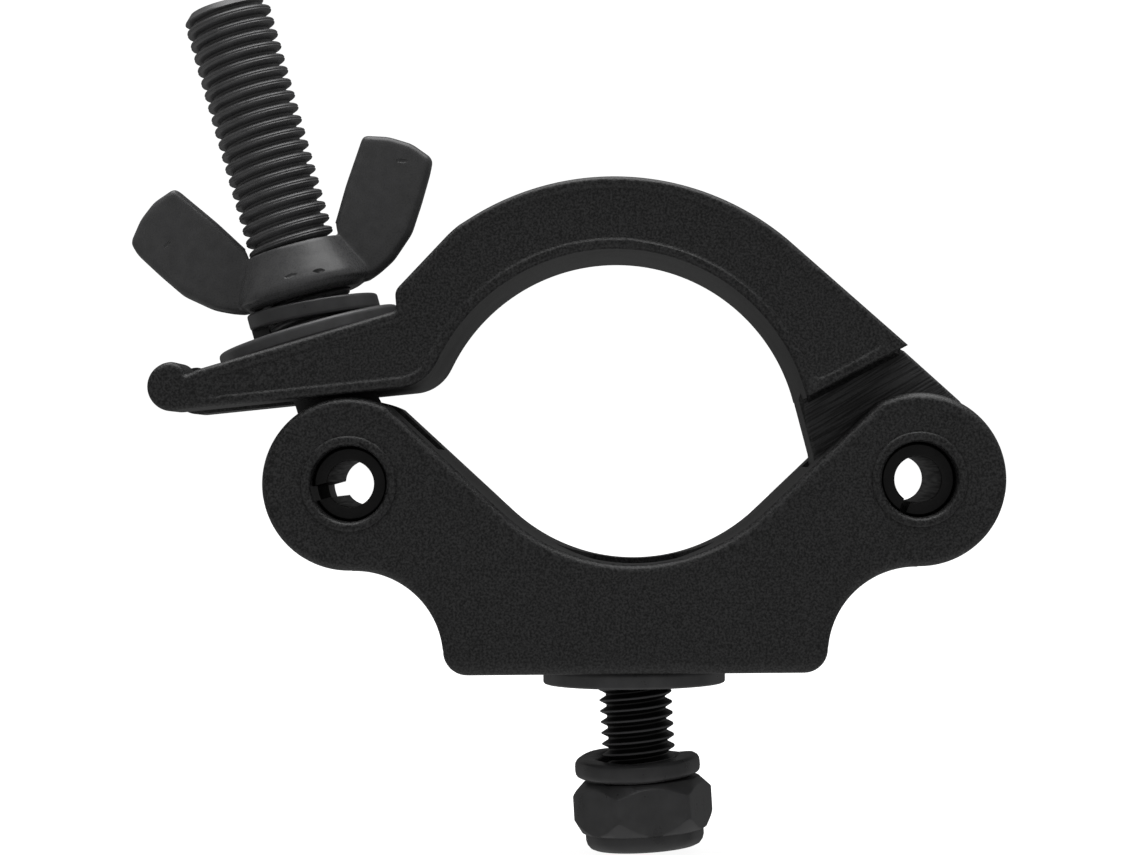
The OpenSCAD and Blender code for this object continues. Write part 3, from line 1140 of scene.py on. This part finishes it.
def build_lock_nut():
    """The M10 lock nut, with a collar below its hexagon, and the nylon ring in the collar."""
    n = 180
    hex_h = 6.9
    bore_r = 5.25
    rows = [circle_row(bore_r, 0.6, n), circle_row(bore_r, hex_h - 0.5, n), circle_row(5.7, hex_h, n)]
    rows += hex_rows(17.2, hex_h, 7.9, 1.0, 8.6, 1.7, n, blunt=0.2)
    collar = [
        (8.12, -0.25),
        (8.12, -1.1),
        (7.95, -1.7),
        (7.55, -2.2),
        (7.1, -2.4),
        (6.85, -2.3),
        (6.8, -2.1),
        (6.8, -0.4),
    ]
    rows += [circle_row(r, h, n) for r, h in collar]
    rows += [circle_row(5.5, -0.4, n), circle_row(bore_r, -0.3, n)]
    seat = FIXING_AXIS @ Matrix.Translation((0.15, 0, -NUT_GAP - hex_h))
    place = seat @ Matrix.Rotation(math.radians(-110.3), 4, "Z")
    ob = piece("lock_nut_part", skin(rows, wrap_rows=True), place)
    finish_piece(ob, "locknut", STEEL, ["lock_nut"], 42)
    corners = [(bore_r, -2.15), (6.78, -2.15), (6.78, -0.42), (bore_r, -0.42)]
    ring = rounded(corners, [0.5, 0.2, 0.05, 0.05])
    ob = piece("nylon_ring", lathe(ring, 96), seat)
    finish_piece(ob, "locknut", NYLON, ["lock_nut_insert"])


build_body()
build_arm()
spring_pin("hinge_pin_part", PIN_X, 243, 0.5, "hinge_pin")
spring_pin("swing_pin_part", -PIN_X, 195, 1.0, "swing_pin")
build_swing_bolt()
build_fixing_bolt()
build_washers()
build_wing_nut()
build_lock_nut()


# ---------------------------------------------------------------- studio


def build_stage():
    """A pale floor under the clamp."""
    bm = bmesh.new()
    bmesh.ops.create_grid(bm, x_segments=24, y_segments=24, size=4.0)
    bmesh.ops.translate(bm, verts=bm.verts, vec=(0, 0, FLOOR_Z * MM))
    mesh = bpy.data.meshes.new("floor")
    bm.to_mesh(mesh)
    bm.free()
    ob = bpy.data.objects.new("floor", mesh)
    bpy.context.scene.collection.objects.link(ob)
    mat, tree, shader, where = new_material("floor_paper")
    cloud = grain(tree, where, 400.0, detail=1.0)
    paper = blend_colour(tree, cloud, (0.86, 0.86, 0.86), (0.9, 0.9, 0.9))
    tree.links.new(paper, shader.inputs["Base Color"])
    shader.inputs["Roughness"].default_value = 0.9
    shader.inputs["Emission Color"].default_value = (1, 1, 1, 1)
    shader.inputs["Emission Strength"].default_value = 0.92
    mesh.materials.append(mat)
    ob.visible_diffuse = False
    ob.visible_glossy = False


def build_world():
    """A light tent that the clamp sees: bright overhead, faint from below, and dim in front and behind.
    The camera sees plain white."""
    world = bpy.data.worlds.new("tent")
    bpy.context.scene.world = world
    world.use_nodes = True
    tree = world.node_tree
    tree.nodes.clear()
    out = node(tree, "ShaderNodeOutputWorld")
    coords = node(tree, "ShaderNodeTexCoord")
    split = node(tree, "ShaderNodeSeparateXYZ")
    tree.links.new(coords.outputs["Generated"], split.inputs["Vector"])
    place = spread(tree, split.outputs["Y"], -1, 1, 0, 1)
    above = spread(tree, split.outputs["Z"], 0.83, 0.98, 0.0, 1.5)
    below = spread(tree, split.outputs["Z"], -0.85, -0.25, 0.20, 0.0)
    panels = maths(tree, "ADD", above, below)
    ramp = node(tree, "ShaderNodeValToRGB")
    stops = [
        (0.0, 0.165),
        (0.12, 0.165),
        (0.30, 0.15),
        (0.45, 0.13),
        (0.60, 0.13),
        (0.75, 0.22),
        (0.88, 0.12),
        (1.0, 0.08),
    ]
    while len(ramp.color_ramp.elements) < len(stops):
        ramp.color_ramp.elements.new(0.5)
    for e, (at, level) in zip(ramp.color_ramp.elements, stops):
        e.position = at
        e.color = (level, level, level, 1)
    tree.links.new(place, ramp.inputs["Fac"])
    tent = node(tree, "ShaderNodeBackground")
    tree.links.new(maths(tree, "ADD", ramp.outputs["Color"], panels), tent.inputs["Color"])
    white = node(tree, "ShaderNodeBackground", Strength=1.05)
    white.inputs["Color"].default_value = (1, 1, 1, 1)
    path = node(tree, "ShaderNodeLightPath")
    mix = node(tree, "ShaderNodeMixShader")
    tree.links.new(path.outputs["Is Camera Ray"], mix.inputs["Fac"])
    tree.links.new(tent.outputs["Background"], mix.inputs[1])
    tree.links.new(white.outputs["Background"], mix.inputs[2])
    tree.links.new(mix.outputs["Shader"], out.inputs["Surface"])


def build_light():
    """A broad soft light straight above the clamp."""
    data = bpy.data.lights.new("tent_top", "AREA")
    data.shape = "RECTANGLE"
    data.size, data.size_y = 0.8, 0.5
    data.energy = 1.5
    ob = bpy.data.objects.new("tent_top", data)
    ob.location = (0.0, -0.02, 0.55)
    ob.rotation_euler = (-ob.location).to_track_quat("-Z", "Y").to_euler()
    bpy.context.scene.collection.objects.link(ob)


def build_camera():
    """The photo's view: close in front of the pins' line, with the frame shifted off the lens axis."""
    data = bpy.data.cameras.new("photo_view")
    data.sensor_width = 36
    data.lens = 83.8
    data.shift_x = -0.0526
    data.shift_y = 0.031
    data.clip_start = 0.01
    data.clip_end = 20
    ob = bpy.data.objects.new("photo_view", data)
    ob.location = (-0.00054, -0.365, -0.01165)
    upright = Euler((math.pi / 2, 0, 0)).to_matrix()
    roll = Matrix.Rotation(math.radians(-0.45), 3, "Z")
    ob.rotation_euler = (upright @ roll).to_euler()
    bpy.context.scene.collection.objects.link(ob)
    bpy.context.scene.camera = ob


build_stage()
build_world()
build_light()
build_camera()
bpy.context.scene.view_settings.view_transform = "Standard"
